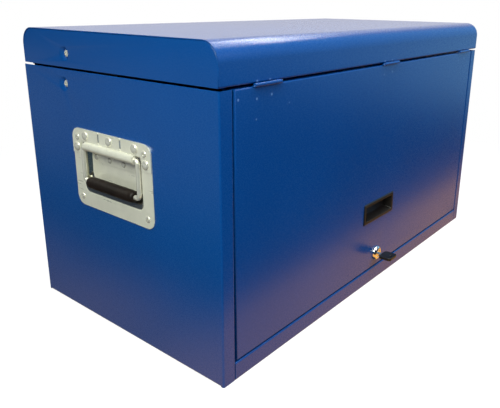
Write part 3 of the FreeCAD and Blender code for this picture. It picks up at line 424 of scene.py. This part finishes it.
def circle(sides, radius, centre=(0, 0, 0), tilt=0, fill="NOTHING"):
    """A ring in millimetres, flat or tilted about X by an angle in degrees."""
    pick()
    bpy.ops.mesh.primitive_circle_add(vertices=sides, radius=radius * MM, fill_type=fill,
                                      location=Vector(centre) * MM, rotation=(math.radians(tilt), 0, 0))
    bpy.ops.object.transform_apply()
    return newest()


def block(middle, size):
    """A plain block in millimetres, to cut slots with."""
    pick()
    bpy.ops.mesh.primitive_cube_add(size=MM, location=Vector(middle) * MM, scale=size)
    bpy.ops.object.transform_apply()
    return newest()


def turned(rings, sides=48):
    """A round form about Z, closed at both ends, from (radius, height) rings in millimetres."""
    first_radius, first_height = rings[0]
    piece = circle(sides, first_radius, (0, 0, first_height), fill="NGON")
    edit(piece)
    for (radius, height), (next_radius, next_height) in zip(rings, rings[1:]):
        step = (0, 0, (next_height - height) * MM)
        growth = next_radius / radius
        bpy.ops.mesh.extrude_region_move(TRANSFORM_OT_translate={"value": step})
        bpy.ops.transform.resize(value=(growth, growth, 1), center_override=(0, 0, next_height * MM))
    leave()
    outwards(piece)
    return piece


def crowned(radius, rise, edge):
    """Rings of a low dome on a flat seat: a small straight edge, then an arc up to the crown."""
    eased = 0.15
    tip = 0.05
    steps = 7
    rings = [(radius - eased, 0.0), (radius, eased), (radius, edge)]
    for i in range(1, steps + 1):
        turn = math.radians(90 * i / steps)
        rings.append((max(radius * math.cos(turn), tip), edge + (rise - edge) * math.sin(turn)))
    return rings


def smoothed(node, finish=None, angle=35, bevel=0.0, segments=2, cutter=None, bevel_from=38):
    """A merged copy of a node's own mesh, cut by another form and with eased edges where these are given."""
    piece = nodes[node].copy()
    piece.data = nodes[node].data.copy()
    piece.parent = None
    for key in list(piece.keys()):
        del piece[key]
    bpy.context.collection.objects.link(piece)
    piece.matrix_world = Matrix.Identity(4)
    piece.hide_render = False
    piece.hide_viewport = False
    edit(piece)
    bpy.ops.mesh.remove_doubles(threshold=0.002 * MM)
    if bevel:
        bpy.ops.mesh.dissolve_limited(angle_limit=math.radians(0.4))
    leave()
    if cutter:
        cut_away(piece, cutter)
    if bevel:
        apply_modifier(piece, "BEVEL", width=bevel * MM, segments=segments, limit_method="ANGLE",
                       angle_limit=math.radians(bevel_from), harden_normals=False)
    dress(piece, node, finish or slot_finish[slots[node]], angle)


# ---------------------------------------------------------------- sheet-metal box, lid and flap
for node in ("left_side_panel", "right_side_panel", "floor_pan", "rear_panel", "lid_left_end",
             "lid_right_end", "lid_stiffeners", "flap_stiffener", "flap_stops", "lock_plate",
             "rear_hinge_body_leaf", "rear_hinge_lid_leaf", "rear_hinge_pin", "rear_hinge_body_rivets",
             "rear_hinge_lid_rivets"):
    smoothed(node, angle=40)
for node in ("lid_shell", "flap_panel"):
    smoothed(node, chipped_blue_coat, angle=40)
for node in ("flap_hinge_lid_leaves", "flap_hinge_flap_leaves", "flap_hinge_pins"):
    smoothed(node, blue_coat, angle=45)
smoothed("pull_cup", bevel=0.5, segments=3)


# ---------------------------------------------------------------- carry handles
def slot_cutter(sign):
    """Two bars through the cover and the plate, where the springs hook in."""
    inside, outside = 4.0, 5.0
    middle_x = sign * (side_face + (inside - outside) / 2)
    size = (inside + outside, spring_slot_width, spring_slot_height)
    return joined([block((middle_x, y, spring_slot_z), size) for y in (-spring_slot_y, spring_slot_y)])


for side, sign in box_sides:
    slot_bars = slot_cutter(sign)
    smoothed(side + "_handle_plate", dish_zinc, bevel=0.45, cutter=slot_bars, bevel_from=20)
    smoothed(side + "_handle_cover", cover_zinc, bevel=0.25, cutter=slot_bars)
    smoothed(side + "_handle_strap", bevel=0.2)
    discard(slot_bars)


def bail():
    """Round wire from one end in the rod housing, round four bends, to the other end."""
    piece = circle(28, wire_radius, (rod_x, wire_gap / 2, rod_z), tilt=90)
    edit(piece)
    straight = arm_y - bend_radius
    top, bottom = rod_z - bend_radius, grip_z + bend_radius
    runs = (((0, straight - wire_gap / 2, 0), (straight, top)),
            ((0, 0, bottom - top), (straight, bottom)),
            ((0, -2 * straight, 0), (-straight, bottom)),
            ((0, 0, top - bottom), (-straight, top)),
            ((0, straight - wire_gap / 2, 0), None))
    for run, bend in runs:
        bpy.ops.mesh.extrude_region_move(TRANSFORM_OT_translate={"value": Vector(run) * MM})
        if bend:
            bpy.ops.mesh.spin(steps=10, angle=math.radians(90), center=Vector((rod_x, *bend)) * MM, axis=X)
    bpy.ops.mesh.select_all(action="SELECT")
    bpy.ops.mesh.remove_doubles(threshold=0.001 * MM)
    bpy.ops.mesh.fill_holes(sides=0)
    leave()
    outwards(piece)
    return piece


both_sides(bail(), "bail", rivet_zinc)


def grip():
    """Rubber sleeve with rounded ends and fine ribs, a little short of the wire's bends."""
    radius = (grip_high.x - grip_low.x) / 2
    half = (grip_high.y - grip_low.y) / 2 - bend_radius - 3.0
    groove, crest = radius - 0.55, radius - 0.05
    pitch = 2.6
    plain_end = 6.0
    rounded_end = ((radius - 0.5, 3.4), (radius - 1.6, 1.2), (radius - 3.4, 0.0), (wire_radius - 0.4, 0.0))
    ribs = int(2 * (half - plain_end) / pitch)
    start = -ribs * pitch / 2
    rings = [(size, inset - half) for size, inset in reversed(rounded_end)]
    for i in range(ribs):
        y = start + i * pitch
        rings += [(groove, y), (crest, y + 0.35 * pitch), (crest, y + 0.7 * pitch)]
    rings.append((groove, -start))
    rings += [(size, half - inset) for size, inset in rounded_end]
    return settle(turned(rings, 40), facing((rod_x, 0, grip_z), Y))


both_sides(grip(), "grip", black_rubber, 50)


def springs():
    """Two close-wound torsion springs on the rod, each with a straight leg."""
    wire = 0.55
    coil_radius = 4.3
    length = 18.9
    turns = 13
    leg_length = 9.3
    eased = 0.1
    leg_rings = ((wire - eased / 2, 0), (wire, eased), (wire, leg_length - eased),
                 (wire - eased / 2, leg_length))
    pieces = []
    for side in (-1, 1):
        centre = side * 36.0
        coil = circle(8, wire, (coil_radius, 0, 0), tilt=90)
        apply_modifier(coil, "SCREW", angle=math.tau, steps=20, render_steps=20, iterations=turns,
                       screw_offset=length / turns * MM, axis="Z", use_normal_calculate=True)
        edit(coil)
        bpy.ops.mesh.fill_holes(sides=0)
        leave()
        outwards(coil)
        settle(coil, facing((rod_x, centre - length / 2, rod_z), Y))
        leg_top = (rod_x + coil_radius, centre - side * (length / 2 - wire), rod_z)
        leg = settle(turned(leg_rings, 10), facing(leg_top, Vector((2.5, 0, -9.0))))
        pieces += [coil, leg]
    return joined(pieces)


both_sides(springs(), "springs", spring_wire, 60)


def rivet_set(rings, sides, places):
    """Rivets turned from the same rings, each seated at (distance in front of the side, y, z)."""
    rivet = turned(rings, sides)
    rivets = [copied(rivet, facing((side_face - out, y, z), -X)) for out, y, z in places]
    discard(rivet)
    return rivets


plate_tail = [(3.2, -5.2), (3.8, -4.8), (3.8, -3.8), (2.35, -3.7), (2.35, -0.02)]
plate_rivet = plate_tail + crowned(6.5, 3.2, 0.6)
plate_domes = rivet_set(plate_rivet, 40, [(cover_face, y, z) for y, z in dome_points])
strap_tail = [(3.6, -3.7), (4.0, -3.4), (4.0, -2.4), (1.75, -2.3), (1.75, -0.02)]
strap_rivet = strap_tail + crowned(4.0, 2.2, 0.4)
strap_face = strap_sheet - dish_depth
strap_domes = rivet_set(strap_rivet, 32, [(strap_face, y, z) for y, z in strap_points])
both_sides(joined(plate_domes + strap_domes), "dome_rivets", rivet_zinc, 50)

blind_tail = [(3.2, -7.2), (3.8, -6.6), (3.8, -4.2), (2.35, -3.8), (2.35, -0.02)]
blind_head = [(4.5, 0.0), (4.6, 0.3), (4.35, 0.85), (3.6, 1.3), (2.6, 1.5), (1.75, 1.42)]
blind_bore = [(1.4, 1.1), (1.4, -1.6), (0.9, -1.3), (0.05, -1.2)]
blind_places = [(cover_face if z > handle_middle else plate_sheet, y, z) for y, z in blind_points]
blinds = rivet_set(blind_tail + blind_head + blind_bore, 32, blind_places)
both_sides(joined(blinds), "blind_rivets", rivet_zinc, 40)


def slot_bumps(side, sign):
    """Small pressed bumps in the cover, above and below each spring slot."""
    sunk = 0.2
    below, above = -8.2, 7.5
    bump = turned(crowned(1.9, 1.1, 0.1), 20)
    seat_x = sign * (side_face - cover_face + sunk)
    bumps = [copied(bump, facing((seat_x, y, spring_slot_z + rise), -sign * X))
             for y in (-spring_slot_y, spring_slot_y) for rise in (below, above)]
    discard(bump)
    row = painted(joined(bumps), side + "_cover_bumps", zinc, 60)
    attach(row, "body")


for side, sign in box_sides:
    slot_bumps(side, sign)


# ---------------------------------------------------------------- lid stays and their screws
def stay_screw(node):
    """Button-head screw with a hexagon socket and its nut, along the node's own length."""
    low, high = box_of(node)
    y, z = (low.y + high.y) / 2, (low.z + high.z) / 2
    head, nut = 3.3, 5.0
    tail = head - (high.x - low.x)
    shank_radius = 3.0
    nut_radius = 5.77
    rings = [(shank_radius - 0.4, tail), (shank_radius, tail + 0.5), (shank_radius, tail + nut / 2),
             (shank_radius, -0.02)]
    screw = turned(rings + crowned(5.25, head, 0.7), 48)
    socket = turned([(1.85, 1.1), (1.85, 4.5)], 6)
    cut_away(screw, socket)
    discard(socket)
    settle(screw, facing((low.x + head, y, z), -X))
    nut_rings = [(nut_radius - 0.57, 0), (nut_radius, 0.5), (nut_radius, nut - 0.5), (nut_radius - 0.57, nut)]
    hexagon = settle(turned(nut_rings, 6), facing((high.x - nut - 0.02, y, z), X))
    return joined([screw, hexagon])


for part in ("stay_lid_screw", "stay_body_screw"):
    both_sides(stay_screw("left_" + part), part, rivet_zinc)
for side in ("left", "right"):
    for part in ("stay_upper_arm", "stay_lower_arm", "stay_knee_rivet"):
        smoothed(side + "_" + part, dark_steel, bevel=0.25)


# ---------------------------------------------------------------- cam lock and key
def lock_housing():
    """Threaded barrel's plain outline with a domed rose round the plug."""
    barrel, rose, bore = 9.4, 12.6, 6.0
    rim = 1.1
    top = rim + 4.7
    dome_edge = bore + 0.9
    rings = [(barrel, front_face - housing_high.y), (barrel, -0.02), (rose - 0.4, 0.0), (rose, 0.25),
             (rose, rim)]
    for i in range(1, 10):
        turn = math.radians(10 * i)
        rings.append((dome_edge + (rose - dome_edge) * math.cos(turn), rim + (top - rim) * math.sin(turn)))
    rings += [(bore + 0.5, top - 0.05), (bore, top - 0.5), (bore, 1.0)]
    return settle(turned(rings, 64), facing((0, front_face, lock_z), -Y))


def lock_plug():
    """Plug with a bevelled face and a keyway, flush with the middle of the rose."""
    stem, barrel = 4.0, 5.8
    tail = front_face - box_of("lock_plug")[1].y
    shoulder, face = -12.0, 5.2
    keyway_end = 6.0
    rings = [(stem - 0.4, tail), (stem, tail + 0.4), (stem, shoulder), (barrel, shoulder + 0.1),
             (barrel, face - 0.5), (barrel - 0.5, face)]
    plug = turned(rings, 48)
    keyway = block((0, 0, (shoulder + keyway_end) / 2), (7.07, 2.69, keyway_end - shoulder))
    cut_away(plug, keyway)
    discard(keyway)
    return settle(plug, facing((0, front_face, lock_z), -Y))


def key_bow():
    """Flat plastic bow with rounded corners, a ring hole and eased edges."""
    low, high = box_of("key_bow")
    wide, long, thick = high - low
    middle = Vector(((low.x + high.x) / 2, (low.y + high.y) / 2, low.z))
    corner = 4.5
    steps = 12
    hole_radius, hole_inset = 2.2, 5.2
    outline = []
    for quarter, (right, up) in enumerate(((1, 1), (-1, 1), (-1, -1), (1, -1))):
        for i in range(steps):
            turn = math.pi / 2 * (quarter + i / (steps - 1))
            outline.append(Vector((right * (wide / 2 - corner) + corner * math.cos(turn),
                                   up * (long / 2 - corner) + corner * math.sin(turn), 0)))
    rim = circle(len(outline), long / 2)
    for vertex, point in zip(rim.data.vertices, outline):
        vertex.co = point * MM
    hole = circle(len(outline), hole_radius, (0, hole_inset - long / 2, 0))
    bow = joined([rim, hole])
    edit(bow)
    bpy.ops.mesh.bridge_edge_loops()
    bpy.ops.mesh.select_all(action="SELECT")
    bpy.ops.mesh.extrude_region_move(TRANSFORM_OT_translate={"value": (0, 0, thick * MM)})
    leave()
    outwards(bow)
    apply_modifier(bow, "BEVEL", width=0.9 * MM, segments=3, limit_method="ANGLE",
                   angle_limit=math.radians(50))
    return settle(bow, Matrix.Translation(middle * MM))


dress(lock_housing(), "lock_housing", chrome, 40)
dress(lock_plug(), "lock_plug", chrome)
for node in ("lock_nut", "lock_cam", "lock_cam_screw"):
    smoothed(node, bevel=0.25)
smoothed("key_blade", bevel=0.15)
dress(key_bow(), "key_bow", black_plastic, 40)


# ---------------------------------------------------------------- floor, light and camera
def studio_floor():
    """Pale floor with the box's soft shadow. To glossy rays alone the floor glows in placed patches, warm
    close to the box, as a painted reflection in the box's gloss.
    """
    pick()
    bpy.ops.mesh.primitive_plane_add(size=9.0)
    ground = newest()
    ground.name = "studio_floor"
    pale = Finish("pale_floor")
    x, y = pale.along(0), pale.along(1)
    plain = pale.add("ShaderNodeBsdfDiffuse", {}, {"Color": (0.15, 0.14, 0.15)})
    matt = pale.add("ShaderNodeBsdfDiffuse", {}, {"Color": (0.45, 0.45, 0.46)})
    near_box = pale.add("ShaderNodeAddShader", {}, {0: pale.glow((1.0, 1.0, 1.0), 0.7), 1: matt})
    seen = pale.either((x * x + y * y).rise(0.35, 1.4), near_box, pale.glow((1.0, 1.0, 1.0)))

    # Glow of the floor for glossy rays only: a painted reflection, warm in front of and beside the box, grey
    # to the rear left, blue far right.
    low_angle = pale.add("ShaderNodeLayerWeight", {}, {"Blend": 0.5}, 1).rise(0.10, 0.30)
    right_of_box = x.rise(0.38, 0.48) * y.rise(-0.26, -0.20)
    ahead = y.rise(-0.37, -0.30) * y.rise(-0.22, -0.02, 1.0, 0.0)
    in_front = ahead * x.rise(-0.70, -0.42) * (1 - right_of_box) * low_angle
    beside = y.rise(-0.40, -0.25) * y.rise(0.05, 0.30, 0.42, 0.26)
    at_side = x.rise(-0.60, -0.42) * x.rise(-0.2, 0.1, 1.0, 0.0) * beside * low_angle
    rear_left = x.rise(-1.0, -0.62, 0.42, 0.0) * y.rise(-0.1, 0.25)
    far_right = x.rise(0.9, 3.0) * y.rise(-0.5, -0.3, 1.0, 0.0)
    mirrored = pale.blend(rear_left, (0.02, 0.04, 0.06), (0.55, 0.55, 0.60))
    mirrored = pale.blend(far_right, mirrored, (0.32, 0.66, 1.0))
    mirrored = pale.blend(at_side, mirrored, (1.10, 0.60, 0.16))
    mirrored = pale.blend(in_front, mirrored, (1.12, 0.55, 0.13))

    lit = pale.either(pale.ray("Is Glossy Ray"), plain, pale.glow(mirrored))
    shown = pale.either(pale.ray("Is Camera Ray"), lit, seen)
    pale.add("ShaderNodeOutputMaterial", {}, {"Surface": shown})
    ground.data.materials.append(pale.owner)


def studio_world():
    """White behind the box. Gloss mirrors a dark room, bright overhead and rear right, blue far right."""
    world = bpy.data.worlds.new("studio_world")
    bpy.context.scene.world = world
    sky = Finish("studio_world", world)
    direction = sky.add("ShaderNodeTexCoord", out="Generated")
    x, y, z = (sky.add("ShaderNodeSeparateXYZ", {}, {0: direction}, axis) for axis in range(3))
    soft_light = sky.blend(z.rise(-0.1, 0.7), (0.55, 0.56, 0.60), (0.85, 0.87, 0.92))
    rearward = y.rise(-0.15, 0.25)
    bright_part = (rearward * x.rise(-0.25, 0.15)).peak(z.rise(0.55, 0.9))
    far_right = x.rise(0.5, 0.9) * rearward.rise(0.0, 0.6, 1.0, 0.0)
    mirrored = sky.blend(bright_part, (0.025, 0.035, 0.055), (1.02, 0.97, 0.90))
    mirrored = sky.blend(far_right, mirrored, (0.32, 0.66, 1.0))
    lit = sky.either(sky.ray("Is Glossy Ray"), sky.background(soft_light, 0.32), sky.background(mirrored))
    shown = sky.either(sky.ray("Is Camera Ray"), lit, sky.background((1.0, 1.0, 1.0)))
    sky.add("ShaderNodeOutputWorld", {}, {"Surface": shown})


def lamp(name, place, aim, size, watts, colour=(1.0, 1.0, 1.0)):
    """A rectangular lamp at a place in metres, aimed at a point."""
    light = bpy.data.lights.new(name, "AREA")
    light.shape = "RECTANGLE"
    light.size, light.size_y = size
    light.energy = watts
    light.color = colour
    item = bpy.data.objects.new(name, light)
    bpy.context.collection.objects.link(item)
    item.location = place
    item.rotation_euler = (Vector(aim) - Vector(place)).to_track_quat("-Z", "Y").to_euler()


def studio_camera():
    """Three-quarter view from the front left, a little above the lid."""
    place = Vector((-0.8316, -0.6359, 0.4810))
    turn, tip, roll = (math.radians(angle) for angle in (51.19, -16.71, 0.61))
    forward = Vector((math.sin(turn) * math.cos(tip), math.cos(turn) * math.cos(tip), math.sin(tip)))
    right = Vector((math.cos(turn), -math.sin(turn), 0))
    up = right.cross(forward)
    level = right * math.cos(roll) + up * math.sin(roll)
    high = up * math.cos(roll) - right * math.sin(roll)
    lens = bpy.data.cameras.new("studio_camera")
    lens.sensor_width = 36.0
    lens.lens = 40.32
    lens.shift_x = -0.0432
    lens.shift_y = -0.0698
    item = bpy.data.objects.new("studio_camera", lens)
    bpy.context.collection.objects.link(item)
    item.matrix_world = Matrix.Translation(place) @ Matrix((level, high, -forward)).transposed().to_4x4()
    bpy.context.scene.camera = item


studio_floor()
studio_world()
lamp("key_softbox", (-1.30, -0.55, 1.15), (-0.39, -0.15, 0.28), (0.8, 0.7), 21, (0.95, 1.0, 0.88))
lamp("overhead_softbox", (0.0, -0.55, 2.2), (0.0, -0.1, 0.3), (2.2, 0.9), 24, (0.92, 0.97, 1.0))
lamp("front_fill", (0.5, -2.2, 1.6), (0.0, 0.0, 0.2), (1.4, 1.0), 20, (0.90, 0.84, 1.0))
lamp("edge_strip", (0.85, 0.05, 1.37), (-0.30, -0.19, 0.435), (0.7, 0.10), 4.5)
studio_camera()
bpy.context.scene.view_settings.view_transform = "Standard"
